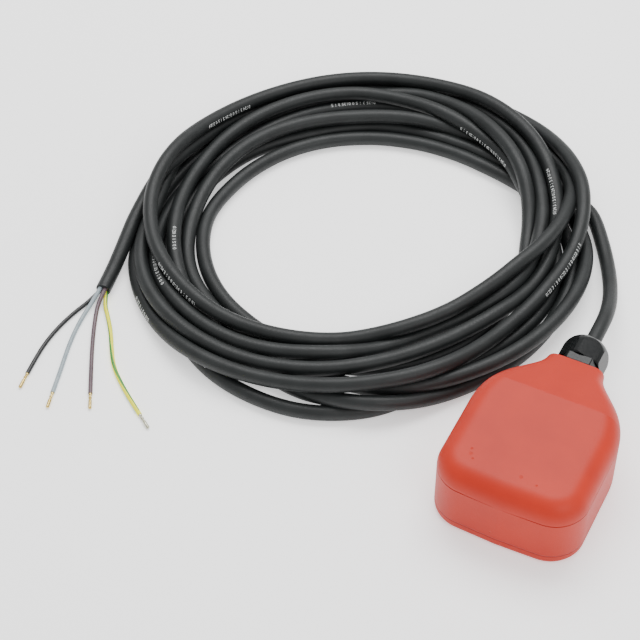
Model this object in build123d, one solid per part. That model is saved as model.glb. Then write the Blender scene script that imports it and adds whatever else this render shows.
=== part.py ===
from build123d import *
import math
import os

# Cable float switch: a red two-shell float lying flat, its black cable gland and about seven metres of
# rubber cable in a loose coil, stripped to four cores with crimped ferrules.
# Frame: millimetres, +Z up, the floor at z = 0, +Y along the float's axis towards the gland.
# The origin is under the middle of the float and gland together.

# Float, outside
float_width = 85.0
free_end_y = -67.75
neck_end_y = 43.75
float_height = 45.5
neck_width = 33.0
neck_foot_y = 39.0
neck_foot_radius = 23.0
shoulder_y = 8.5
shoulder_radius = 47.0
free_corner_radius = 20.0
free_end_bow = 1.6
top_edge_radius = 12.0
neck_edge_radius = 6.0
bottom_edge_radius = 4.0
least_edge_radius = 1.0
axis_rise = 0.75
neck_height = 26.0
crease_y = 7.7
section_spacing = 4.0

# Float, walls and parting
shell_wall = 3.0
cap_depth = 12.0
parting_slope_start_y = 0.0
neck_block = 12.0
boss_root = 1.0
lip_height = 3.0
lip_thickness = 1.4
lip_clearance = 0.1
seam_groove = 0.6

# Cable gland
entry_thread_diameter = 18.0
cap_thread_diameter = 21.0
thread_clearance = 0.15
gland_bore = 10.4
gasket_thickness = 1.2
gasket_diameter = 25.0
collar_length = 5.0
collar_across_flats = 24.0
lock_nut_thickness = 5.0
lock_nut_across_flats = 22.0
spigot_overhang = 1.0
cap_thread_length = 8.0
dome_nut_length = 17.8
dome_nut_diameter = 27.6
dome_nut_across_flats = 25.0
dome_nut_turn = 15.0
dome_nut_mouth = 13.0
dome_nut_wall = 2.2
cage_seat_depth = 6.0
cage_length = 10.0
cage_bevel = 2.4
cage_slot_width = 1.0
cage_slot_start = 4.0
cage_outer_diameter = 17.0
sleeve_outer_diameter = 14.4
sleeve_length = 8.0
sleeve_setback = 1.0
sheath_stub = 0.5

# Cable
cable_diameter = 9.0
core_diameter = 2.6
ferrule_diameter = 2.0
ferrule_length = 10.5
ferrule_crimp_depth = 0.3
conductor_diameter = 1.2
core_offset = 1.4
core_depth = 2.0

# Switch capsule
capsule_width = 44.0
capsule_length = 56.0
capsule_front_y = 13.0
capsule_wall = 2.0
capsule_base_z = 7.0
capsule_depth = 19.0
cover_thickness = 2.0
capsule_corner_radius = 4.0
screw_inset = 4.2
screw_diameter = 3.0
screw_head_diameter = 5.4
screw_head_height = 2.0
screw_seat_bite = 0.1
boss_diameter = 6.4
boss_bite = 4.0
ball_diameter = 16.0
ball_clearance = 0.3
track_rib_thickness = 1.6
track_rib_height = 9.0

# Snap switch
switch_length = 27.8
switch_depth = 15.9
switch_thickness = 10.3
switch_front_y = -9.0
switch_pin_spacing = 22.2
switch_pin_diameter = 3.0
switch_pin_row = 10.0
running_clearance = 0.1
button_diameter = 2.6
button_x = -4.0
button_length = 4.0
lever_pivot_x = -11.0
lever_standoff = 1.5
lever_rest_angle = 8.0
lever_length = 23.0
lever_width = 5.0
lever_thickness = 0.5
lever_pin_diameter = 1.2
ear_thickness = 0.9
ear_gap = 0.2
eye_wall = 0.5
button_gap = 0.15
terminal_spacing = 6.5
terminal_length = 3.4
terminal_width = 4.8
terminal_thickness = 0.8

# Counterweight
weight_width = 48.0
weight_length = 15.0
weight_height = 21.5
weight_gap = 1.25
weight_screw_spacing = 24.0
weight_screw_diameter = 4.0
weight_screw_head = 7.5
weight_screw_head_height = 2.6
lug_thickness = 0.8
lug_diameter = 8.0
lug_strip_width = 2.4
lug_barrel_wall = 0.4
lug_barrel_length = 5.0

# Coil, as the closed outer shape of its turns
coil_centre = (-162.0, 110.0)
coil_height = 20.0
coil_edge_radius = 7.0
coil_outer_radii = [140, 148, 155, 150, 147, 142, 142, 148, 150, 152, 145, 139]
coil_inner_radii = [82, 96, 92, 81, 78, 80, 87, 94, 97, 87, 76, 72]

# Routes of the lying cable and cores, chosen by hand from the photograph; the lead starts on the axis
axis_z = float_height / 2 + axis_rise
lead_route = [
    (0.0, 82.0, axis_z), (-1.0, 98.0, 20.4), (-4.6, 115.0, 14.4), (-10.2, 132.0, 8.8),
    (-18.0, 149.5, 5.2), (-28.4, 167.5, 4.6), (-40.4, 185.0, 4.6),
]
tail_route = [
    (-289.6, 51.6, 13.4), (-286.9, 37.6, 11.2), (-284.6, 24.0, 8.2), (-282.6, 10.6, 5.4),
    (-280.6, -3.0, 4.6),
]
black_core_route = [
    (-284.6, -11.4, 1.5), (-288.0, -23.2, 1.4), (-290.3, -36.6, 1.3), (-290.9, -50.6, 1.3),
    (-289.6, -64.2, 1.3), (-287.6, -76.6, 1.3),
]
grey_core_route = [
    (-281.9, -12.4, 3.4), (-282.0, -24.0, 1.6), (-279.9, -37.6, 1.3), (-276.2, -52.0, 1.3),
    (-271.4, -67.0, 1.3), (-267.0, -82.4, 1.3),
]
brown_core_route = [
    (-278.6, -12.0, 3.4), (-274.4, -23.0, 1.6), (-268.4, -35.4, 1.3), (-261.8, -47.8, 1.3),
    (-254.6, -60.6, 1.3), (-247.3, -73.4, 1.3),
]
earth_core_route = [
    (-275.6, -10.2, 1.5), (-268.6, -18.0, 1.4), (-260.8, -27.8, 1.3), (-253.8, -38.8, 1.3),
    (-246.2, -49.6, 1.3), (-236.0, -58.6, 1.3), (-225.0, -66.8, 1.3), (-214.2, -74.2, 1.3),
]

# Places that follow from the sizes
shoulder_turn = math.atan2(float_width / 2 - neck_width / 2, neck_foot_y - shoulder_y)
shoulder_start_y = shoulder_y - shoulder_radius * math.tan(shoulder_turn / 2)
neck_foot_end_y = neck_foot_y + neck_foot_radius * math.tan(shoulder_turn / 2)
parting_z = float_height - cap_depth
capsule_back_y = capsule_front_y - capsule_length
capsule_rim_z = capsule_base_z + capsule_depth
ball_z = capsule_base_z + capsule_wall + ball_clearance + ball_diameter / 2
ball_rest_y = capsule_back_y + capsule_wall + ball_clearance + ball_diameter / 2
cavity_end_y = neck_end_y - neck_block
collar_y = neck_end_y + gasket_thickness
nut_y = collar_y + collar_length
gland_front_y = nut_y + dome_nut_length
gland_front = (0.0, gland_front_y, axis_z)
spigot_end_y = cavity_end_y - lock_nut_thickness - spigot_overhang
sheath_end_y = spigot_end_y - sheath_stub
weight_y = free_end_y + shell_wall + weight_gap + weight_length / 2
weight_top_z = capsule_base_z + weight_height
screw_hole_diameter = screw_diameter + 2 * running_clearance
weight_screw_hole_diameter = weight_screw_diameter + 2 * running_clearance


def save(shape, node):
    export_step(shape, "parts/" + node + ".step")


def box_between(low, high):
    size = [high[k] - low[k] for k in range(3)]
    middle = [(high[k] + low[k]) / 2 for k in range(3)]
    return Pos(*middle) * Box(*size)


def rod_z(x, y, low, high, diameter):
    return Pos(x, y, (low + high) / 2) * Cylinder(diameter / 2, high - low)


def rod_y(x, z, low, high, diameter):
    return Pos(x, (low + high) / 2, z) * Rot(90, 0, 0) * Cylinder(diameter / 2, high - low)


def turned_about_gland_axis(points):
    # points are (distance from the axis, y)
    outline = make_face(Polyline([(r, y) for r, y in points], close=True))
    return Pos(0, 0, axis_z) * revolve(outline, Axis.Y)


def hexagon_along_y(across_flats, low, high, corner_radius, turn=0):
    face = RegularPolygon(across_flats / 2, 6, major_radius=False)
    prism = extrude(face, high - low)
    prism = fillet(prism.edges().filter_by(Axis.Z), corner_radius)
    return Pos(0, high, axis_z) * Rot(0, turn, 0) * Rot(90, 0, 0) * prism


def half_width(y, inset):
    # the plan from the shoulder to the gland: an arc, a straight run and the arc at the neck's foot
    outer = shoulder_radius - inset
    inner = neck_foot_radius + inset
    if y <= shoulder_start_y + outer * math.sin(shoulder_turn):
        along = max(y - shoulder_start_y, 0)
        return float_width / 2 - inset - outer + math.sqrt(outer ** 2 - along ** 2)
    if y >= neck_foot_end_y - inner * math.sin(shoulder_turn):
        along = neck_foot_end_y - y
        return neck_width / 2 - inset + inner - math.sqrt(inner ** 2 - along ** 2)
    corner_y = shoulder_y - inset * math.tan(shoulder_turn / 2)
    return float_width / 2 - inset - (y - corner_y) * math.tan(shoulder_turn)


def low_radius(inset):
    return max(bottom_edge_radius - inset, least_edge_radius)


def section(y, inset):
    # the float cut across at y, its top and bottom edges rounded
    share = max(y - crease_y, 0) / (neck_end_y - crease_y)
    half = half_width(y, inset)
    top = float_height - share * (float_height - axis_z - neck_height / 2) - inset
    bottom = share * (axis_z - neck_height / 2) + inset
    high_radius = top_edge_radius + share * (neck_edge_radius - top_edge_radius) - inset
    corners = [(-half, bottom), (half, bottom), (half, top), (-half, top)]
    face = make_face(Polyline(corners, close=True))
    face = fillet([v for v in face.vertices() if v.Y > axis_z], high_radius)
    face = fillet([v for v in face.vertices() if v.Y < bottom + 0.01], low_radius(inset))
    return Plane(origin=(0, y, 0), x_dir=(1, 0, 0), z_dir=(0, -1, 0)) * face


def lofted(low, high, inset):
    count = math.ceil((high - low) / section_spacing)
    return loft([section(low + k * (high - low) / count, inset) for k in range(count + 1)])


def rounded_body(inset):
    # the straight part of the float, from the free end to the shoulders
    half = float_width / 2 - inset
    low = free_end_y + inset
    corner_y = low + free_end_bow
    outline = make_face(Polyline(
        [(0, low), (half, corner_y), (half, shoulder_start_y), (-half, shoulder_start_y), (-half, corner_y)],
        close=True,
    ))
    near = [v for v in outline.vertices() if abs(v.Y - corner_y) < 0.01]
    outline = fillet(near, free_corner_radius - inset)
    body = Pos(0, 0, inset) * extrude(outline, float_height - 2 * inset)
    for height, radius in ((float_height - inset, top_edge_radius - inset), (inset, low_radius(inset))):
        level = [e for e in body.edges() if abs((e @ 0).Z - height) < 0.01 and abs((e @ 1).Z - height) < 0.01]
        body = fillet([e for e in level if (e @ 0.5).Y < shoulder_start_y - 0.01], radius)
    return body


def float_form(inset, end_y):
    shoulders = lofted(shoulder_start_y, crease_y, inset)
    neck = lofted(crease_y, end_y, inset)
    return rounded_body(inset) + shoulders + neck


def below_parting(shift):
    # everything under the parting surface, which drops from the body's side to the gland's axis
    far = 2 * (neck_end_y - free_end_y)
    points = [
        (-far, -far), (far, -far), (far, axis_z + shift), (cavity_end_y, axis_z + shift),
        (parting_slope_start_y, parting_z + shift), (-far, parting_z + shift),
    ]
    return extrude(Plane.YZ * make_face(Polyline(points, close=True)), float_width, both=True)


def capsule_screw_places():
    x = capsule_width / 2 - screw_inset
    return [
        (side * x, y)
        for side in (-1, 1)
        for y in (capsule_front_y - screw_inset, capsule_back_y + screw_inset)
    ]


def weight_screw_places():
    return [(-weight_screw_spacing / 2, weight_y), (weight_screw_spacing / 2, weight_y)]


def cord(points, diameter):
    # straight runs joined by tangent arcs, each arc as large as its two runs allow
    stops = [Vector(*p) for p in points]
    radii = []
    for before, here, after in zip(stops, stops[1:], stops[2:]):
        arriving = here - before
        leaving = after - here
        turn = math.radians(arriving.get_angle(leaving))
        radii.append(0.45 * min(arriving.length, leaving.length) / math.tan(turn / 2))
    path = FilletPolyline(*stops, radius=radii)
    start = Plane(origin=stops[0], z_dir=stops[1] - stops[0])
    tube = sweep(start * Circle(diameter / 2), path=path)
    share = tube.volume / (math.pi * diameter ** 2 / 4 * path.length)
    print("cord", round(path.length, 1), "mm, radii", [round(r, 1) for r in radii])
    print("smallest radius", round(min(radii), 1), "volume over section times length", round(share, 4))
    return tube


os.makedirs("parts", exist_ok=True)

# Float shells: two moulded halves with a tongue inside the joint
outside = float_form(0, neck_end_y)
cavity = float_form(shell_wall, cavity_end_y)
lip_outside = float_form(shell_wall + lip_clearance, cavity_end_y)
lip_inside = float_form(shell_wall + lip_clearance + lip_thickness, cavity_end_y)
groove_floor = float_form(seam_groove, neck_end_y)
bore = rod_y(0, axis_z, spigot_end_y, neck_end_y + 1, entry_thread_diameter + 2 * thread_clearance)
half_groove = seam_groove / 2
lower_shell = outside & below_parting(-half_groove)
lower_shell += (groove_floor & below_parting(0)) - below_parting(-half_groove)
lower_shell = lower_shell - cavity - bore
bosses = []
pilots = []
for x, y in capsule_screw_places():
    bosses.append(rod_z(x, y, shell_wall - boss_root, capsule_base_z, boss_diameter))
    pilots.append(rod_z(x, y, capsule_base_z - boss_bite, capsule_base_z + 1, screw_hole_diameter))
for x, y in weight_screw_places():
    bosses.append(rod_z(x, y, shell_wall - boss_root, capsule_base_z, lug_diameter))
    pilots.append(rod_z(x, y, capsule_base_z - boss_bite, capsule_base_z + 1, weight_screw_hole_diameter))
lower_shell = lower_shell.fuse(*bosses).cut(*pilots)
tongue_end_y = spigot_end_y - 1
tongue_room = box_between((-float_width, free_end_y, 0), (float_width, tongue_end_y, float_height))
tongue = (lip_outside & below_parting(0) & tongue_room) - below_parting(-lip_height)
upper_shell = outside - below_parting(half_groove)
upper_shell += (groove_floor & below_parting(half_groove)) - below_parting(0)
upper_shell = upper_shell + tongue
upper_shell = upper_shell - (cavity - below_parting(lip_height))
upper_shell = upper_shell - (lip_inside & below_parting(lip_height)) - bore
save(lower_shell, "lower_shell")
save(upper_shell, "upper_shell")

# Cable gland
thread_r = entry_thread_diameter / 2
cap_r = cap_thread_diameter / 2
bore_r = gland_bore / 2
cage_r = cage_outer_diameter / 2
cage_seat_y = nut_y + cap_thread_length - cage_seat_depth
gasket = turned_about_gland_axis([
    (thread_r + thread_clearance, neck_end_y), (gasket_diameter / 2, neck_end_y),
    (gasket_diameter / 2, collar_y), (thread_r + thread_clearance, collar_y),
])
save(gasket, "gland_gasket")
gland_tube = turned_about_gland_axis([
    (bore_r, spigot_end_y), (thread_r, spigot_end_y), (thread_r, collar_y), (cap_r, collar_y),
    (cap_r, nut_y + cap_thread_length), (cage_r + running_clearance, nut_y + cap_thread_length),
    (cage_r + running_clearance, cage_seat_y), (bore_r, cage_seat_y),
])
collar = hexagon_along_y(collar_across_flats, collar_y, nut_y, 1.0)
collar = collar - rod_y(0, axis_z, collar_y - 1, nut_y + 1, gland_bore)
save(gland_tube + collar, "gland_body")
lock_nut = hexagon_along_y(lock_nut_across_flats, cavity_end_y - lock_nut_thickness, cavity_end_y, 1.0)
lock_nut = lock_nut - rod_y(
    0, axis_z, cavity_end_y - lock_nut_thickness - 1, cavity_end_y + 1,
    entry_thread_diameter + 2 * thread_clearance,
)
save(lock_nut, "gland_lock_nut")
sleeve_r = sleeve_outer_diameter / 2
cage_tip_y = cage_seat_y + cage_length
cage = turned_about_gland_axis([
    (sleeve_r + running_clearance, cage_seat_y), (cage_r, cage_seat_y),
    (cage_r, cage_tip_y - cage_bevel), (cage_r - cage_bevel / 3, cage_tip_y),
    (sleeve_r + running_clearance, cage_tip_y),
])
for k in range(8):
    slot = box_between(
        (-cage_slot_width / 2, cage_seat_y + cage_slot_start, 0),
        (cage_slot_width / 2, cage_tip_y + 1, cage_r + 1),
    )
    cage = cage - Pos(0, 0, axis_z) * Rot(0, 45 * k + 22.5, 0) * slot
save(cage, "gland_clamp_cage")
sleeve_y = cage_seat_y + sleeve_setback
sleeve = turned_about_gland_axis([
    (cable_diameter / 2, sleeve_y), (sleeve_r, sleeve_y),
    (sleeve_r, sleeve_y + sleeve_length), (cable_diameter / 2, sleeve_y + sleeve_length),
])
save(sleeve, "gland_seal_sleeve")
nut_r = dome_nut_diameter / 2
mouth_r = dome_nut_mouth / 2
rim_r = mouth_r + dome_nut_wall / 2
dome_start_y = nut_y + 0.5 * dome_nut_length
thread_end_y = nut_y + cap_thread_length
thread_room_r = cap_r + thread_clearance
foot_y = nut_y + 0.2
profile = Polyline(
    (rim_r, gland_front_y), (mouth_r, gland_front_y - 1.0), (mouth_r, thread_end_y + 6.0),
    (thread_room_r, thread_end_y + 0.6), (thread_room_r, foot_y), (nut_r - 0.8, foot_y),
    (nut_r, foot_y + 0.8), (nut_r, dome_start_y),
)
dome = EllipticalCenterArc(
    (rim_r, dome_start_y), nut_r - rim_r, gland_front_y - dome_start_y, start_angle=0, arc_size=90
)
nut = Pos(0, 0, axis_z) * revolve(make_face([*profile.edges(), dome.edge()]), Axis.Y)
nut = nut & hexagon_along_y(dome_nut_across_flats, nut_y, gland_front_y + 1, 1.2, dome_nut_turn)
save(nut, "gland_dome_nut")

# Switch capsule
half = capsule_width / 2
tray = box_between((-half, capsule_back_y, capsule_base_z), (half, capsule_front_y, capsule_rim_z))
tray = fillet(tray.edges().filter_by(Axis.Z), capsule_corner_radius)
room = box_between(
    (-half + capsule_wall, capsule_back_y + capsule_wall, capsule_base_z + capsule_wall),
    (half - capsule_wall, capsule_front_y - capsule_wall, capsule_rim_z + 1),
)
room = fillet(room.edges().filter_by(Axis.Z), capsule_corner_radius - capsule_wall)
tray = tray - room
for x, y in capsule_screw_places():
    tray += rod_z(x, y, capsule_base_z, capsule_rim_z, boss_diameter)
rib_x = ball_diameter / 2 + ball_clearance
floor_z = capsule_base_z + capsule_wall
for side in (-1, 1):
    low = min(side * rib_x, side * (rib_x + track_rib_thickness))
    tray += box_between(
        (low, capsule_back_y + capsule_wall, floor_z - 0.5),
        (low + track_rib_thickness, switch_front_y - 6.0, floor_z + track_rib_height),
    )
switch_low_z = ball_z - switch_thickness / 2
switch_back_y = switch_front_y + switch_depth
pin_y = switch_front_y + switch_pin_row
tray += box_between(
    (-switch_length / 2, switch_front_y, floor_z - 0.5), (switch_length / 2, switch_back_y, switch_low_z)
)
peg_top_z = switch_low_z + switch_thickness + 0.8
for side in (-1, 1):
    tray += rod_z(side * switch_pin_spacing / 2, pin_y, floor_z, peg_top_z, switch_pin_diameter)
for x, y in capsule_screw_places():
    tray -= rod_z(x, y, capsule_base_z - 1, capsule_rim_z + 1, screw_hole_diameter)
tray -= box_between(
    (-terminal_spacing - core_diameter, capsule_front_y - capsule_wall - 1, ball_z - core_diameter),
    (terminal_spacing + core_diameter, capsule_front_y + 1, capsule_rim_z + 1),
)
save(tray, "capsule_base")
cover = box_between(
    (-half, capsule_back_y, capsule_rim_z), (half, capsule_front_y, capsule_rim_z + cover_thickness)
)
cover = fillet(cover.edges().filter_by(Axis.Z), capsule_corner_radius)
screws = Part()
cover_top_z = capsule_rim_z + cover_thickness
for x, y in capsule_screw_places():
    cover -= rod_z(x, y, capsule_rim_z - 1, cover_top_z + 1, screw_hole_diameter)
    screws += rod_z(x, y, capsule_base_z - boss_bite, cover_top_z + screw_seat_bite, screw_diameter)
    screws += rod_z(x, y, cover_top_z, cover_top_z + screw_head_height, screw_head_diameter)
save(cover, "capsule_cover")
save(screws, "capsule_screws")
save(Pos(0, ball_rest_y, ball_z) * Sphere(ball_diameter / 2), "steel_ball")

# Snap switch with its lever
switch_cover_z = ball_z + switch_thickness / 2 - 1.5
case = box_between(
    (-switch_length / 2, switch_front_y, switch_low_z), (switch_length / 2, switch_back_y, switch_cover_z)
)
pivot_y = switch_front_y - lever_standoff
eye_diameter = lever_pin_diameter + 2 * (running_clearance + eye_wall)
ear_low = lever_width / 2 + ear_gap
for side in (-1, 1):
    low = min(side * ear_low, side * (ear_low + ear_thickness))
    case += box_between(
        (lever_pivot_x - eye_diameter / 2, pivot_y - eye_diameter / 2, ball_z + low),
        (lever_pivot_x + eye_diameter / 2, switch_front_y + 0.5, ball_z + low + ear_thickness),
    )
case -= rod_z(lever_pivot_x, pivot_y, ball_z - lever_width, ball_z + lever_width, lever_pin_diameter)
lever_drop = (button_x - lever_pivot_x) * math.tan(math.radians(lever_rest_angle))
button_tip_y = pivot_y - lever_drop + lever_thickness / 2 + button_gap
button_well_y = button_tip_y + button_length + 1.6
case -= rod_y(button_x, ball_z, switch_front_y - 1, button_well_y, button_diameter + 2 * running_clearance)
for side in (-1, 1):
    case -= rod_z(
        side * switch_pin_spacing / 2, pin_y, switch_low_z - 1, switch_cover_z + 1,
        switch_pin_diameter + 2 * running_clearance,
    )
save(case, "switch_case")
lid = box_between(
    (-switch_length / 2, switch_front_y, switch_cover_z),
    (switch_length / 2, switch_back_y, switch_low_z + switch_thickness),
)
for side in (-1, 1):
    lid -= rod_z(
        side * switch_pin_spacing / 2, pin_y, switch_cover_z - 1, switch_cover_z + 3,
        switch_pin_diameter + 2 * running_clearance,
    )
save(lid, "switch_cover")
button = rod_y(button_x, ball_z, button_tip_y, button_tip_y + button_length, button_diameter)
button = fillet(button.edges().group_by(Axis.Y)[0], 0.5)
save(button, "switch_button")
strip = box_between(
    (0, -lever_thickness / 2, -lever_width / 2), (lever_length, lever_thickness / 2, lever_width / 2)
)
eye = Cylinder(eye_diameter / 2, lever_width)
lever = strip + eye - Cylinder(lever_pin_diameter / 2 + running_clearance, lever_width + 2)
save(Pos(lever_pivot_x, pivot_y, ball_z) * Rot(0, 0, -lever_rest_angle) * lever, "switch_lever")
pin_reach = ear_low + ear_thickness
save(rod_z(lever_pivot_x, pivot_y, ball_z - pin_reach, ball_z + pin_reach, lever_pin_diameter), "lever_pin")
terminal_end_y = switch_back_y + terminal_length
for place, node in ((-1, "open_terminal"), (0, "common_terminal"), (1, "closed_terminal")):
    x = place * terminal_spacing
    save(
        box_between(
            (x - terminal_thickness / 2, switch_back_y, ball_z - terminal_width / 2),
            (x + terminal_thickness / 2, terminal_end_y, ball_z + terminal_width / 2),
        ),
        node,
    )

# Counterweight, its two screws and the earth lug
weight_middle = Pos(0, weight_y, capsule_base_z + weight_height / 2)
weight = weight_middle * Box(weight_width, weight_length, weight_height)
weight = fillet(weight.edges().filter_by(Axis.Z), 2.0)
weight = chamfer(weight.edges().group_by(Axis.Z)[-1], 1.0)
weight_screws = Part()
for x, y in weight_screw_places():
    seat_z = weight_top_z + (lug_thickness if x > 0 else 0)
    weight -= rod_z(x, y, capsule_base_z - 1, weight_top_z + 1, weight_screw_hole_diameter)
    shank_top_z = seat_z + screw_seat_bite
    weight_screws += rod_z(x, y, capsule_base_z - boss_bite, shank_top_z, weight_screw_diameter)
    weight_screws += rod_z(x, y, seat_z, seat_z + weight_screw_head_height, weight_screw_head)
save(weight, "counterweight")
save(weight_screws, "counterweight_screws")
lug_x = weight_screw_spacing / 2
barrel_diameter = core_diameter + 2 * lug_barrel_wall
barrel_start_y = weight_y + lug_diameter / 2 + 1.5
barrel_end_y = barrel_start_y + lug_barrel_length
lug = rod_z(lug_x, weight_y, weight_top_z, weight_top_z + lug_thickness, lug_diameter)
lug += box_between(
    (lug_x - lug_strip_width / 2, weight_y, weight_top_z),
    (lug_x + lug_strip_width / 2, barrel_start_y + 1, weight_top_z + lug_thickness),
)
lug -= rod_z(lug_x, weight_y, weight_top_z - 1, weight_top_z + 3, weight_screw_hole_diameter)
lug += rod_y(lug_x, weight_top_z + barrel_diameter / 2, barrel_start_y, barrel_end_y, barrel_diameter)
save(lug, "earth_lug")

# The cable inside the gland and float, and its four cores, which leave bores in the end of the sheath
low_z = axis_z - core_offset
high_z = axis_z + core_offset
bore_end_y = sheath_end_y + core_depth
bend_y = sheath_end_y - 4.8
brown_bend_y = sheath_end_y - 6.4
earth_z = weight_top_z + barrel_diameter / 2
over_cover_z = cover_top_z + core_diameter / 2 + 1.1
black = [
    (-core_offset, bore_end_y, low_z), (-core_offset, bend_y, low_z),
    (-terminal_spacing, terminal_end_y, ball_z),
]
grey = [(-x, y, z) for x, y, z in black]
brown = [
    (-core_offset, bore_end_y, high_z), (-core_offset, brown_bend_y, high_z), (0.0, terminal_end_y, ball_z)
]
earth = [
    (core_offset, bore_end_y, high_z), (core_offset, sheath_end_y - 3.6, high_z + 0.1),
    (core_offset + 0.6, capsule_front_y - 0.5, over_cover_z - 0.2), (core_offset + 2.6, 2.0, over_cover_z),
    (core_offset + 6.0, -10.0, over_cover_z + 0.2), (core_offset + 9.0, -21.0, over_cover_z + 0.1),
    (lug_x - 0.2, -31.5, over_cover_z), (lug_x, barrel_end_y + 5.0, earth_z), (lug_x, barrel_end_y, earth_z),
]
entry = rod_y(0, axis_z, sheath_end_y, gland_front_y, cable_diameter)
for points, node in (
    (black, "black_core_inside"), (grey, "grey_core_inside"),
    (brown, "brown_core_inside"), (earth, "earth_core_inside"),
):
    wire = cord(points, core_diameter)
    entry -= wire
    save(wire, node)
save(entry, "cable_entry")

# The lying cable: lead, coil and tail; the tail's last piece keeps bores for the four cores
save(cord([gland_front] + lead_route, cable_diameter), "cable_lead")
tail = cord(tail_route, cable_diameter)


def ring_of(radii):
    points = []
    for k, r in enumerate(radii):
        angle = 2 * math.pi * k / len(radii)
        points.append((coil_centre[0] + r * math.cos(angle), coil_centre[1] + r * math.sin(angle)))
    return make_face(Spline(*points, periodic=True))


coil = extrude(ring_of(coil_outer_radii) - ring_of(coil_inner_radii), coil_height)
coil = fillet(coil.edges().filter_by(Axis.Z, reverse=True), coil_edge_radius)
save(coil, "cable_coil")

# The four stripped cores, each ending in a crimped ferrule
tail_end = Vector(*tail_route[-1])
along = (tail_end - Vector(*tail_route[-2])).normalized()
across = Vector(-along.Y, along.X, 0)


def core_start(side, height):
    return tail_end - along * core_depth + across * (side * core_offset) + Vector(0, 0, height * core_offset)


def ferrule(route, node):
    tip = Vector(*route[-1])
    way = (tip - Vector(*route[-2])).normalized()
    way = Vector(way.X, way.Y, 0).normalized()
    r = ferrule_diameter / 2
    neck = r - ferrule_crimp_depth
    wire_r = conductor_diameter / 2
    length = ferrule_length
    outline = Polyline(
        (0, 0), (r, 0), (r, 1.0), (neck, 1.5), (neck, 2.3), (r, 2.8), (r, 3.4), (neck, 3.9), (neck, 4.7),
        (r, 5.2), (r, length), (wire_r, length), (wire_r, length + 0.5), (0, length + 0.5), close=True,
    )
    turned = revolve(make_face(outline), Axis.Y)
    place = Plane(origin=tip, x_dir=way.cross(Vector(0, 0, 1)), z_dir=(0, 0, 1))
    save(place * turned, node)
    middle = tip + way * (5.2 + length) / 2
    print(node, "mount", [round(v, 2) for v in middle], "axis", [round(v, 4) for v in way])


for name, route, side, height in (
    ("black", black_core_route, -1, -1), ("grey", grey_core_route, -1, 1),
    ("brown", brown_core_route, 1, 1), ("earth", earth_core_route, 1, -1),
):
    start = core_start(side, height)
    wire = cord([(start.X, start.Y, start.Z)] + route, core_diameter)
    tail -= wire
    save(wire, name + "_core")
    ferrule(route, name + "_ferrule")
save(tail, "cable_tail")
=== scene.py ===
import bpy
import math
import numpy as np
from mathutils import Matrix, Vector


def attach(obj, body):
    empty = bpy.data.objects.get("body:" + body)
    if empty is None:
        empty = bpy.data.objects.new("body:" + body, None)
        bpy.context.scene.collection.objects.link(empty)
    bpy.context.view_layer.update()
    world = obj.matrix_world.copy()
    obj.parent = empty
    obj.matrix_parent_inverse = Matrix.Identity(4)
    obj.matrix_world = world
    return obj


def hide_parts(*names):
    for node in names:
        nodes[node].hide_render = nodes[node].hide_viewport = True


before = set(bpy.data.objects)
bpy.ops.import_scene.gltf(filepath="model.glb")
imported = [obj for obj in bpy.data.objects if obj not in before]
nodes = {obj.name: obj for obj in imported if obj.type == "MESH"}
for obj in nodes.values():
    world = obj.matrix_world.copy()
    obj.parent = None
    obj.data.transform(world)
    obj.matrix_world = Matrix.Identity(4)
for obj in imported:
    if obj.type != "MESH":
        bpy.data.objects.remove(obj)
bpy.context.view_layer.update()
bpy.ops.object.select_all(action="DESELECT")

# Camera
# It stands in front of the part, well above the floor and far off, with a long lens, as the photograph's
# did, and it looks down at a point between the coil and the float.
bpy.ops.object.camera_add(location=(0.1798, -0.6363, 0.8353))
camera = bpy.context.object
camera.data.lens = 106.9
camera.data.sensor_width = 36.0
aim = Vector((-0.1558, 0.0368, 0.0))
camera.rotation_euler = (aim - camera.location).to_track_quat("-Z", "Y").to_euler()
bpy.context.scene.camera = camera

# Rubber cable
# One four-core cable with an extruded neoprene sheath, nine millimetres thick: the lead from the gland,
# eight and a half loose turns, and the tail. The turns lie on the floor and on each other, and nothing
# ties them.
cable_diameter = 0.009
# points along the lead and the tail
lead = [
    (0.0, 0.06775, 0.0235), (0.0, 0.082, 0.0235), (-0.001, 0.098, 0.0204), (-0.0046, 0.115, 0.0144),
    (-0.0102, 0.132, 0.0088), (-0.018, 0.1495, 0.0052), (-0.0284, 0.1675, 0.0046), (-0.0404, 0.185, 0.0046),
]
tail = [
    (-0.2896, 0.0516, 0.0134), (-0.2869, 0.0376, 0.0112), (-0.2846, 0.024, 0.0082),
    (-0.2826, 0.0106, 0.0054), (-0.2806, -0.003, 0.0046),
]
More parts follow.
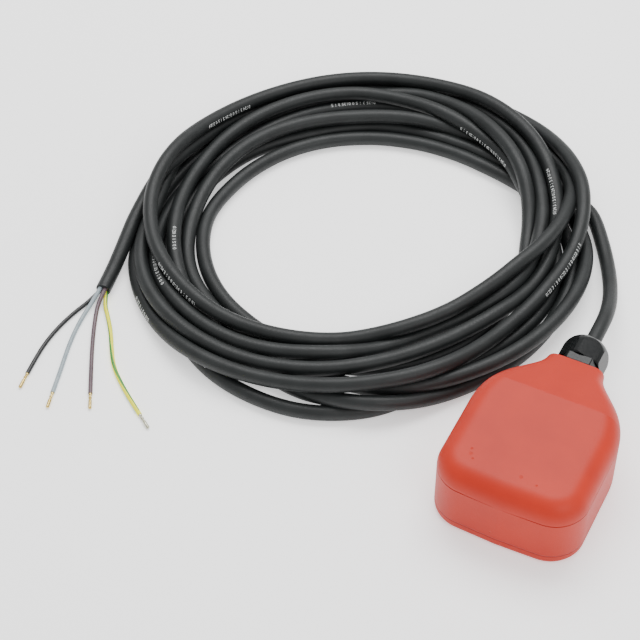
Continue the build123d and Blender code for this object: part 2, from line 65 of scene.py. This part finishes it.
# how far each turn looks from the coil's middle in the photograph, in millimetres and every 20 degrees
# from 40, two lines a turn, and with a minus where other turns hide it
seen = [
    -141, -121.4, 102.6, 102.9, 99.8, 101.7, 104.2, 104, 104.6,
    112.3, -117.8, -115.4, -121.2, 132, 130, 133, 136.1, 137.3,
    125.8, 104.9, 99.2, 94.1, 91, 90.6, 98.4, 104.7, -119,
    -132.8, -143, 149.8, 152.7, 146.5, 125.7, 125.4, 126.7, -121.6,
    105, 110.8, 113.7, 118.8, 125, 123, 120, 115.8, 116,
    117.4, 120.5, -126.5, 138.4, 139.8, 139.4, 138, -132.2, 128.5,
    -114.5, 96.3, 87.6, 82.4, 80.8, 82.6, 85.2, 90, 99.3,
    101.8, 104.8, -106.9, 112.6, 116.2, 113.5, -110.8, -106.3, 99.3,
    107.7, 116.7, 124.4, 130, -121.5, -119, 119.5, 125.5, -134.6,
    145.5, 146.2, 140.1, 131, 122.4, 118.2, 115, 118.6, 130,
    141.3, 145.3, -143.7, -141, -138.5, -136, -134, -132.6, -133.8,
    140, 138.3, 130.3, 119.5, 108.4, 102.4, 102.8, 110.7, -116.9,
    124, 135.3, 141.6, 140.3, 138, 135.8, 135, 135.3, 133.7,
    126, 116.5, 106, 96.6, 88.7, 83.8, 84.7, 93.6, 116.2,
    136.8, -141.8, -127.9, -115.2, 112.4, 110.9, -108, -110.1, -123.4,
    130.6, 127.6, 119.8, 106.6, 99.2, 93.2, 94.4, 103.2, -108.1,
    112.1, 127.6, 132, -132, -130, -128, -125.8, -125.2, 141.5,
]
# how high above the floor each of those places starts, in millimetres, one line a turn
layer = [
    4, 4, 6, 9, 11, 13, 13, 13, 9, 5, 4, 4, 4, 4, 6, 8, 5, 4,
    4, 4, 6, 8, 9, 6, 4, 4, 4, 4, 4, 4, 4, 4, 4, 4, 4, 4,
    9, 10, 13, 15, 15, 14, 13, 13, 11, 8, 4, 4, 4, 5, 6, 6, 4, 4,
    4, 4, 4, 4, 4, 4, 4, 4, 4, 4, 4, 4, 4, 4, 4, 4, 4, 7,
    13, 15, 13, 10, 6, 5, 5, 5, 5, 7, 10, 13, 13, 13, 13, 13, 13, 14,
    14, 13, 8, 4, 4, 4, 4, 6, 6, 8, 10, 12, 13, 13, 13, 13, 11, 8,
    14, 15, 15, 14, 13, 13, 13, 14, 16, 17, 16, 14, 13, 13, 13, 14, 16, 18,
    15, 10, 5, 4, 4, 4, 4, 4, 5, 9, 12, 13, 13, 13, 13, 13, 12, 9,
    15, 15, 12, 7, 5, 5, 5, 7, 13,
]
middle = (-0.162, 0.110)
first_angle = 37.0
last_angle = 360 * 8 + 197
angle_step = 3.0
angles = np.arange(first_angle, last_angle, angle_step)
first_reading = 40
reading_step = 20
station = first_reading + reading_step * np.arange(len(seen))
apparent = np.interp(angles, station, np.abs(seen)) / 1000
# a place that is seen holds its turn well, a hidden one only lightly
seen_hold = 0.10
hidden_hold = 0.012
firm = np.interp(angles, station, [seen_hold if value > 0 else hidden_hold for value in seen])
lowest_start = 4.6
height = np.maximum(np.interp(angles, station, layer), lowest_start) / 1000
# the photograph looks down at a slant, so what lies higher looks shifted away from the camera
read_at_height = 0.009
slant = 0.983
away_from_camera = math.radians(114.5)
turned = np.radians(angles)
lean = slant * np.cos(turned - away_from_camera)
radius = apparent - lean * (height - read_at_height)
coil = np.stack([middle[0] + radius * np.cos(turned), middle[1] + radius * np.sin(turned), height], axis=1)
ends = []
for run in (lead, tail):
    steps = np.arange(0, len(run) - 0.5, 0.5)
    ends.append(np.stack([np.interp(steps, range(len(run)), [p[k] for p in run]) for k in range(3)], axis=1))
route = np.vstack([ends[0], coil, ends[1]])
first = len(ends[0])
last = len(route) - len(ends[1])
order = np.arange(len(route))
# Round by round, stretches that overlap push each other apart, mostly up and down, until they lie on each
# other. A push spreads along the stiff cable, which also straightens a little, is drawn to where it is
# seen, and sinks.
rounds = 240
rounds_between_searches = 6
near = 0.013
own_neighbours = 5
touching = 0.0091
upward = [1.0, 1.0, 1.7]
push_share = 0.6
straighten = 0.3
sink = 0.00006
longest_step = 0.0015
lowest_middle = 0.00455
spread_reach = 8
spread_width = 3.0
spread_gain = 1.6
spread = np.exp(-0.5 * (np.arange(-spread_reach, spread_reach + 1) / spread_width) ** 2)
spread = spread_gain * spread / spread.sum()
for go in range(rounds):
    if go % rounds_between_searches == 0:
        apart = np.linalg.norm(route[:, None] - route[None], axis=2)
        one, other = np.nonzero((apart < near) & (order[None] - order[:, None] >= own_neighbours))
    gap = route[one] - route[other]
    short = np.maximum(touching - np.linalg.norm(gap, axis=1, keepdims=True), 0)
    gap = gap * upward
    gap = gap / (np.linalg.norm(gap, axis=1, keepdims=True) + 1e-9)
    push = np.zeros_like(route)
    np.add.at(push, one, push_share * short * gap)
    np.add.at(push, other, -push_share * short * gap)
    push = np.stack([np.convolve(push[:, k], spread, "same") for k in range(3)], axis=1)
    push[1:-1] += straighten * ((route[:-2] + route[2:]) / 2 - route[1:-1])
    radius = apparent - lean * (route[first:last, 2] - read_at_height)
    push[first:last, 0] += firm * (middle[0] + radius * np.cos(turned) - route[first:last, 0])
    push[first:last, 1] += firm * (middle[1] + radius * np.sin(turned) - route[first:last, 1])
    push[:, 2] -= sink
    route[first:last] += np.clip(push, -longest_step, longest_step)[first:last]
    route[first:last, 2] = np.maximum(route[first:last, 2], lowest_middle)
# one point in three is enough for a smooth line
one_in = 3
places = lead + [tuple(p) for p in route[first:last:one_in]] + tail


def flex(name, places, thickness, smoothness):
    # one open, smooth spline with a round section
    line = bpy.data.curves.new(name, "CURVE")
    line.dimensions = "3D"
    line.bevel_depth = thickness / 2
    line.bevel_resolution = 6
    line.resolution_u = smoothness
    line.use_fill_caps = True
    spline = line.splines.new("NURBS")
    spline.points.add(len(places) - 1)
    for point, place in zip(spline.points, places):
        point.co = (place[0], place[1], place[2], 1.0)
    spline.order_u = 3
    spline.use_endpoint_u = True
    piece = bpy.data.objects.new(name, line)
    bpy.context.collection.objects.link(piece)
    return piece


def centre_line(piece):
    # the points along a flex's middle, from a copy with no thickness
    bare = piece.data.copy()
    bare.bevel_depth = 0.0
    thread = bpy.data.objects.new("thread", bare)
    wire = bpy.data.meshes.new_from_object(thread)
    found = np.array([v.co[:] for v in wire.vertices])
    bpy.data.objects.remove(thread)
    bpy.data.curves.remove(bare)
    bpy.data.meshes.remove(wire)
    return found


def linear(code):
    # an sRGB hex colour as the linear colour that a shader takes
    values = []
    for k in (1, 3, 5):
        v = int(code[k:k + 2], 16) / 255
        values.append(v / 12.92 if v <= 0.04045 else ((v + 0.055) / 1.055) ** 2.4)
    return (values[0], values[1], values[2], 1.0)


def add(finish, kind, inputs, **settings):
    # adds a node with its settings, and a value or a link at each input named
    node = finish.node_tree.nodes.new(kind)
    for key, value in settings.items():
        setattr(node, key, value)
    for key, value in inputs.items():
        if isinstance(value, bpy.types.NodeSocket):
            finish.node_tree.links.new(value, node.inputs[key])
        else:
            node.inputs[key].default_value = value
    return node


def finish_of(name, light, dark, rough, patch, grain, relief):
    # a surface whose colour drifts in patches and whose skin has a fine grain, all three sizes in mm
    finish = bpy.data.materials.new(name)
    finish.use_nodes = True
    surface = finish.node_tree.nodes["Principled BSDF"]
    place = add(finish, "ShaderNodeTexCoord", {}).outputs["Object"]
    drift = add(finish, "ShaderNodeTexNoise", {
        "Vector": place, "Scale": 1000 / patch, "Detail": 4.0, "Roughness": 0.6})
    skin = add(finish, "ShaderNodeTexNoise", {"Vector": place, "Scale": 1000 / grain, "Detail": 3.0})
    tone = add(finish, "ShaderNodeValToRGB", {"Fac": drift.outputs["Fac"]})
    for element, position, code in zip(tone.color_ramp.elements, (0.35, 0.65), (dark, light)):
        element.position = position
        element.color = linear(code)
    gloss = add(finish, "ShaderNodeMapRange", {
        "Value": skin.outputs["Fac"], "From Min": 0.3, "From Max": 0.7,
        "To Min": rough * 0.85, "To Max": rough * 1.15})
    bump = add(finish, "ShaderNodeBump", {
        "Height": skin.outputs["Fac"], "Strength": 0.6, "Distance": relief / 1000})
    finish.node_tree.links.new(tone.outputs["Color"], surface.inputs["Base Color"])
    finish.node_tree.links.new(gloss.outputs["Result"], surface.inputs["Roughness"])
    finish.node_tree.links.new(bump.outputs["Normal"], surface.inputs["Normal"])
    return finish


def dress(names, finish):
    # gives whole solids one finish
    for name in names:
        nodes[name].data.materials.clear()
        nodes[name].data.materials.append(finish)


cable = flex("cable", places, cable_diameter, smoothness=6)
# extruded neoprene: near black with a broad, dull sheen, faintly dusty, with a fine grain from the die
neoprene = finish_of("extruded black neoprene", "#1D2020", "#141717", 0.50, 14.0, 0.9, 0.05)
neoprene.node_tree.nodes["Principled BSDF"].inputs["Specular IOR Level"].default_value = 0.36
cable.data.materials.append(neoprene)
dress(("cable_entry", "cable_lead", "cable_coil", "cable_tail"), neoprene)
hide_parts("cable_lead", "cable_coil", "cable_tail")
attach(cable, "float")

# Print on the cable
# Small white numbers, jetted on the sheath at the factory as the cable runs past, in ten short stretches.
# Each stretch is wrapped round the sheath on the side that is seen.

# each stretch's turn, its first and last angle, and how far it sits off the sheath's middle, outwards
marks = [
    (6, 28, 53, -0.35), (2, 55, 89, -0.75), (7, 112, 133, 0.55), (6, 152, 176, -0.55), (2, 210, 222, -0.05),
    (7, 216, 237, 0.1), (6, 225, 248, 0.75), (4, 229, 240, 0.75), (1, 251, 260, 0.0), (4, 356, 385, 0.6),
]
# a metre mark, one higher with each turn, stands before the other figures
first_metre = 118
# sizes of the figures, in metres and as shares
letters_high = 0.0021
font_height_share = 0.69
pitch_share = 0.82
ink_thickness = 0.00005
ink_clearance = 0.00001
look_ahead = 0.002
middle_line = centre_line(cable)
along = np.concatenate([[0.0], np.cumsum(np.linalg.norm(np.diff(middle_line, axis=0), axis=1))])
round_coil = np.degrees(np.unwrap(np.arctan2(middle_line[:, 1] - middle[1], middle_line[:, 0] - middle[0])))


def on_line(distance):
    # the points on the cable's middle line at these distances along it
    return np.stack([np.interp(distance, along, middle_line[:, k]) for k in range(3)], axis=1)


prints = []
for turn, start, end, offset in marks:
    from_start = np.interp(start + 360 * turn, round_coil, along)
    to_end = np.interp(end + 360 * turn, round_coil, along)
    bpy.ops.object.text_add(location=(0, 0, 0))
    text = bpy.context.object
    count = int((to_end - from_start) / (letters_high * pitch_share))
    figures = "0" + str(first_metre + turn) + " 3 1 5 0 "
    text.data.body = (figures * count)[:count]
    text.data.size = letters_high / font_height_share
    text.data.extrude = ink_thickness
    text.data.resolution_u = 2
    bpy.ops.object.convert(target="MESH")
    text = bpy.context.object
    flat = np.array([v.co[:] for v in text.data.vertices])
    arc = from_start + flat[:, 0] - flat[:, 0].min()
    centre = on_line(arc)
    forward = on_line(arc + look_ahead) - centre
    forward = forward / np.linalg.norm(forward, axis=1, keepdims=True)
    facing = np.array(camera.location) - centre
    facing -= (facing * forward).sum(axis=1, keepdims=True) * forward
    facing /= np.linalg.norm(facing, axis=1, keepdims=True)
    side = np.cross(facing, forward)
    outward = centre - np.array([middle[0], middle[1], 0.0])
    outward[:, 2] = 0.0
    sign = np.sign((side * outward).sum(axis=1).mean())
    roll = math.asin(offset) * sign + (flat[:, 1] - letters_high / 2) / (cable_diameter / 2)
    reach = cable_diameter / 2 + flat[:, 2] + ink_clearance
    wrapped = centre + (np.cos(roll) * reach)[:, None] * facing + (np.sin(roll) * reach)[:, None] * side
    for vertex, place in zip(text.data.vertices, wrapped):
        vertex.co = place
    prints.append(text)
bpy.ops.object.select_all(action="DESELECT")
for text in prints:
    text.select_set(True)
bpy.context.view_layer.objects.active = prints[0]
bpy.ops.object.join()
cable_print = bpy.context.object
cable_print.name = "cable_print"
# ink-jet ink: small dull white figures, a little worn
ink = finish_of("white printing ink", "#E4E6E4", "#B9BCBB", 0.6, 1.2, 0.4, 0.01)
cable_print.data.materials.clear()
cable_print.data.materials.append(ink)
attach(cable_print, "float")
bpy.ops.object.select_all(action="DESELECT")

# Stripped cores
# Four PVC insulated cores fan out on the floor from the cut end of the sheath, each into its ferrule. They
# keep the slight set that they have from lying twisted in the cable.
core_diameter = 0.0026
core_routes = {
    "black": [
        (-0.28229, -0.00123, 0.00334), (-0.2846, -0.0114, 0.0015), (-0.288, -0.0232, 0.0014),
        (-0.2903, -0.0366, 0.0013), (-0.2909, -0.0506, 0.0013), (-0.2896, -0.0642, 0.0013),
        (-0.2876, -0.0766, 0.0013),
    ],
    "grey": [
        (-0.28229, -0.00123, 0.00614), (-0.2819, -0.0124, 0.0034), (-0.282, -0.024, 0.0016),
        (-0.2799, -0.0376, 0.0013), (-0.2762, -0.052, 0.0013), (-0.2714, -0.067, 0.0013),
        (-0.267, -0.0824, 0.0013),
    ],
    "brown": [
        (-0.27952, -0.00083, 0.00614), (-0.2786, -0.012, 0.0034), (-0.2744, -0.023, 0.0016),
        (-0.2684, -0.0354, 0.0013), (-0.2618, -0.0478, 0.0013), (-0.2546, -0.0606, 0.0013),
        (-0.2473, -0.0734, 0.0013),
    ],
    "earth": [
        (-0.27952, -0.00083, 0.00334), (-0.2756, -0.0102, 0.0015), (-0.2686, -0.018, 0.0014),
        (-0.2608, -0.0278, 0.0013), (-0.2538, -0.0388, 0.0013), (-0.2462, -0.0496, 0.0013),
        (-0.236, -0.0586, 0.0013), (-0.225, -0.0668, 0.0013), (-0.2142, -0.0742, 0.0013),
    ],
}
# extruded PVC: one clear, even colour with a slight gloss
core_finish = {
    "black": finish_of("black core PVC", "#0E0F11", "#08090A", 0.40, 6.0, 0.5, 0.01),
    "grey": finish_of("grey core PVC", "#9AA6AB", "#87949A", 0.36, 6.0, 0.5, 0.01),
    "brown": finish_of("brown core PVC", "#5E4A50", "#4C3A42", 0.36, 6.0, 0.5, 0.01),
    "earth": finish_of("yellow core PVC", "#F4F000", "#E8E600", 0.34, 6.0, 0.5, 0.01),
}
cores = {}
for name, places in core_routes.items():
    core = flex(name + "_flex", places, core_diameter, smoothness=12)
    core.data.materials.append(core_finish[name])
    dress((name + "_core", name + "_core_inside"), core_finish[name])
    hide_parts(name + "_core")
    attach(core, "float")
    cores[name] = core

# Green stripes
# The earth core's yellow PVC has two green stripes along it, opposite each other, coloured right into the
# insulation. They turn slowly round the core, as the core is twisted in the cable.
rings = 90
across = 9
# degrees round the core
half_width = 34.0
start_roll = 130.0
whole_twist = 190.0
outer_depth = core_diameter / 2 + 0.00002
inner_depth = core_diameter / 2 - 0.00012
# where each stripe starts and ends, as a share of the core's points, just clear of the core's own ends
starts = 0.015
stops = 0.985
run = centre_line(cores["earth"])
share = np.linspace(0, 1, len(run))
run = np.stack([np.interp(np.linspace(starts, stops, rings), share, run[:, k]) for k in range(3)], axis=1)
forward = np.gradient(run, axis=0)
forward /= np.linalg.norm(forward, axis=1, keepdims=True)
side = np.cross(forward, [0.0, 0.0, 1.0])
side /= np.linalg.norm(side, axis=1, keepdims=True)
above = np.cross(side, forward)
verts = []
faces = []
row = 2 * across
loop = list(range(across)) + list(range(row - 1, across - 1, -1))
for stripe_start in (start_roll, start_roll + 180.0):
    base = len(verts)
    twist = math.radians(stripe_start) - np.linspace(0.0, 1.0, rings) * math.radians(whole_twist)
    for ring in range(rings):
        for depth in (outer_depth, inner_depth):
            for step in range(across):
                roll = twist[ring] + math.radians(half_width * (2 * step / (across - 1) - 1))
                verts.append(run[ring] + depth * (math.cos(roll) * above[ring] + math.sin(roll) * side[ring]))
    for ring in range(rings - 1):
        for k in range(row):
            a = base + ring * row + loop[k]
            b = base + ring * row + loop[(k + 1) % row]
            faces.append((a, b, b + row, a + row))
    for ring in (0, rings - 1):
        for step in range(across - 1):
            a = base + ring * row + step
            faces.append((a, a + 1, a + 1 + across, a + across))
stripe_mesh = bpy.data.meshes.new("earth_core_stripe")
stripe_mesh.from_pydata([tuple(v) for v in verts], [], faces)
stripe = bpy.data.objects.new("earth_core_stripe", stripe_mesh)
bpy.context.collection.objects.link(stripe)
bpy.context.view_layer.objects.active = stripe
stripe.select_set(True)
bpy.ops.object.mode_set(mode="EDIT")
bpy.ops.mesh.select_all(action="SELECT")
bpy.ops.mesh.normals_make_consistent(inside=False)
bpy.ops.object.mode_set(mode="OBJECT")
bpy.ops.object.shade_smooth_by_angle(angle=math.radians(40))
stripe.select_set(False)
# the same smooth PVC in a clear leaf green
green = finish_of("green core stripe", "#3C8C2E", "#2F7A28", 0.34, 6.0, 0.5, 0.01)
stripe_mesh.materials.append(green)
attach(stripe, "float")

# Ferrules
# A thin brass tube is crimped on each core's bared strands, and the crimping tool leaves it dented. The
# earth core's ferrule is tinned, so it is paler.


def metal(name, light, dark, rough, patch, grain, relief):
    # a finish with a bare metal surface
    finish = finish_of(name, light, dark, rough, patch, grain, relief)
    finish.node_tree.nodes["Principled BSDF"].inputs["Metallic"].default_value = 1.0
    return finish


# crimped brass: soft gold with small bright glints, and the tinned one nearly silver
brass = metal("crimped brass", "#D8C27E", "#A98F4C", 0.30, 3.0, 0.3, 0.02)
silvery = metal("tinned crimped brass", "#D4D2C0", "#9C9A84", 0.30, 3.0, 0.3, 0.02)
dress(("black_ferrule", "grey_ferrule", "brown_ferrule"), brass)
dress(("earth_ferrule",), silvery)

# Float shells
# Two halves moulded in orange red polypropylene and welded at the seam. The mould's fine spark-eroded
# grain leaves a satin skin, with a few small sink pits, and its bottom insert leaves a witness line round
# the side, a shallow groove whose band is painted deep red as painted shade.

# moulded polypropylene: warm red, paler where it mirrors the bright room at a low angle
red_plastic = finish_of("moulded red polypropylene", "#B8260A", "#AC2108", 0.50, 45.0, 0.45, 0.03)
surface = red_plastic.node_tree.nodes["Principled BSDF"]
surface.inputs["Specular IOR Level"].default_value = 0.32
place = add(red_plastic, "ShaderNodeTexCoord", {}).outputs["Object"]
high = add(red_plastic, "ShaderNodeSeparateXYZ", {"Vector": place}).outputs["Z"]
witness_height = 0.0070
witness_half = 0.0007
line_off = add(red_plastic, "ShaderNodeMath", {0: high, 1: witness_height}, operation="SUBTRACT").outputs[0]
line_off = add(red_plastic, "ShaderNodeMath", {0: line_off}, operation="ABSOLUTE").outputs[0]
groove_and_painted_shade = add(red_plastic, "ShaderNodeMapRange", {
    "Value": line_off, "From Min": 0.0, "From Max": witness_half, "To Min": 1.0, "To Max": 0.0}).outputs[0]
relief = add(red_plastic, "ShaderNodeMath", {0: groove_and_painted_shade, 1: -1.0}, operation="MULTIPLY").outputs[0]
# the two colours of this mix are its inputs 6 and 7, and the mixed colour is its output 2
tone = surface.inputs["Base Color"].links[0].from_node.outputs["Color"]
# painted shade: the band of the witness groove is painted a deep red, darker than the red around it
painted_shade_line = add(red_plastic, "ShaderNodeMix", {
    "Factor": groove_and_painted_shade, 6: tone, 7: linear("#8E0C06")}, data_type="RGBA")
red_plastic.node_tree.links.new(painted_shade_line.outputs[2], surface.inputs["Base Color"])
# each pit's place and size
pits = [
    (-0.0244, -0.0487, 0.0455, 0.0013),
    (-0.0252, -0.0455, 0.0455, 0.0009),
    (-0.0222, -0.0515, 0.0455, 0.0008),
    (0.0053, -0.0515, 0.0455, 0.0013),
    (0.0146, -0.0532, 0.0455, 0.0007),
    (-0.0455, -0.0344, 0.044, 0.0007),
    (-0.0031, -0.0675, 0.0114, 0.0009),
]
pit_depth = 0.00028
for x, y, z, size in pits:
    away = add(red_plastic, "ShaderNodeVectorMath", {0: place, 1: (x, y, z)}, operation="DISTANCE")
    pit = add(red_plastic, "ShaderNodeMapRange", {
        "Value": away.outputs["Value"], "From Min": 0.0, "From Max": size, "To Min": -1.0, "To Max": 0.0},
        interpolation_type="SMOOTHSTEP")
    relief = add(red_plastic, "ShaderNodeMath", {0: relief, 1: pit.outputs[0]}, operation="ADD").outputs[0]
skin = surface.inputs["Normal"].links[0].from_node
dent = add(red_plastic, "ShaderNodeBump", {
    "Height": relief, "Normal": skin.outputs["Normal"], "Strength": 1.0, "Distance": pit_depth})
red_plastic.node_tree.links.new(dent.outputs["Normal"], surface.inputs["Normal"])
dress(("lower_shell", "upper_shell"), red_plastic)

# Cable gland
# The body with its collar, the domed cap nut, the lock nut and the clamp cage are moulded in black
# polyamide and screwed together. The gasket at the neck and the sleeve round the cable are soft rubber.

# glossy polyamide: deep black with crisp highlights along the nut's edges
polyamide = finish_of("glossy black polyamide", "#0C0F10", "#07090A", 0.18, 9.0, 1.4, 0.015)
polyamide.node_tree.nodes["Principled BSDF"].inputs["Specular IOR Level"].default_value = 0.28
dress(("gland_body", "gland_dome_nut", "gland_lock_nut", "gland_clamp_cage"), polyamide)
# nitrile rubber: flat dark grey with no highlight
soft_seal = finish_of("matt nitrile rubber", "#1A1A1B", "#121213", 0.72, 8.0, 0.6, 0.03)
dress(("gland_gasket", "gland_seal_sleeve"), soft_seal)

# Parts sealed inside the float
# A moulded capsule with its rolling steel ball, a snap switch with stamped terminals, and the cast
# counterweight. Screws hold the capsule's cover and the weight, and none of it is seen from outside.

# moulded polycarbonate: plain mid grey, softly shiny
capsule_grey = finish_of("grey moulded polycarbonate", "#A3A4A2", "#949593", 0.46, 20.0, 0.6, 0.03)
dress(("capsule_base", "capsule_cover"), capsule_grey)
# thermoset: a hard charcoal with a dull sheen
switch_black = finish_of("black thermoset switch case", "#232327", "#1A1A1D", 0.44, 8.0, 0.5, 0.03)
dress(("switch_case", "switch_cover"), switch_black)
# the button: one small spot of clear red
button_red = finish_of("red button plastic", "#A3221A", "#931A14", 0.36, 3.0, 0.4, 0.01)
dress(("switch_button",), button_red)
# zinc plating: cool grey metal with a bright, slightly cloudy gloss
zinc = metal("zinc plated steel", "#B9BBBE", "#A0A3A7", 0.28, 4.0, 0.5, 0.01)
dress(("capsule_screws", "counterweight_screws", "lever_pin", "switch_lever"), zinc)
# bearing steel: nearly a mirror
mirror_steel = metal("polished bearing steel", "#D2D4D8", "#C8CACE", 0.10, 10.0, 2.0, 0.002)
dress(("steel_ball",), mirror_steel)
# stamped brass: warm yellow metal, brushed by the tool
terminal_brass = metal("stamped brass", "#CDB26C", "#B0934D", 0.32, 3.0, 0.4, 0.01)
dress(("open_terminal", "common_terminal", "closed_terminal"), terminal_brass)
# sand cast iron: dark and rough, with a visible grain
iron = metal("sand cast iron", "#4E4F53", "#424347", 0.66, 5.0, 0.9, 0.12)
dress(("counterweight",), iron)
# tinned copper: pale, soft metal
tinned = metal("tinned copper", "#CBCBC7", "#B2B2AE", 0.36, 4.0, 0.5, 0.02)
dress(("earth_lug",), tinned)

# Floor
# A plain sheet of pale paper, much wider than the part. It glows a little, as a lit white background
# lights the part from all round.
bpy.ops.mesh.primitive_plane_add(size=8.0, location=(0, 0, 0))
floor = bpy.context.object
floor.name = "floor"
# uncoated paper: an even off-white with no shine
paper = bpy.data.materials.new("pale paper sweep")
paper.use_nodes = True
sheet = paper.node_tree.nodes["Principled BSDF"]
sheet.inputs["Base Color"].default_value = linear("#FCFCFC")
sheet.inputs["Roughness"].default_value = 0.95
sheet.inputs["Emission Color"].default_value = (1.0, 1.0, 1.0, 1.0)
sheet.inputs["Emission Strength"].default_value = 0.6
floor.data.materials.append(paper)

# Soft studio light
# A wide box above and behind the part, a smaller one to the right of the camera, and a bright surround
# that fills the shadows.
world = bpy.data.worlds.new("studio")
world.use_nodes = True
world.node_tree.nodes["Background"].inputs["Color"].default_value = (1.0, 1.0, 1.0, 1.0)
world.node_tree.nodes["Background"].inputs["Strength"].default_value = 0.9
bpy.context.scene.world = world
# each lamp's place, its width and depth in metres, and its power in watts
lamps = [
    ((-0.35, 0.75, 1.5), 1.6, 1.0, 34.0),
    ((0.9, -0.5, 1.1), 0.7, 0.7, 6.0),
]
lit = Vector((-0.13, 0.05, 0.0))
for spot, wide, deep, power in lamps:
    bpy.ops.object.light_add(type="AREA", location=spot)
    lamp = bpy.context.object
    lamp.data.shape = "RECTANGLE"
    lamp.data.size = wide
    lamp.data.size_y = deep
    lamp.data.energy = power
    lamp.rotation_euler = (lit - lamp.location).to_track_quat("-Z", "Y").to_euler()
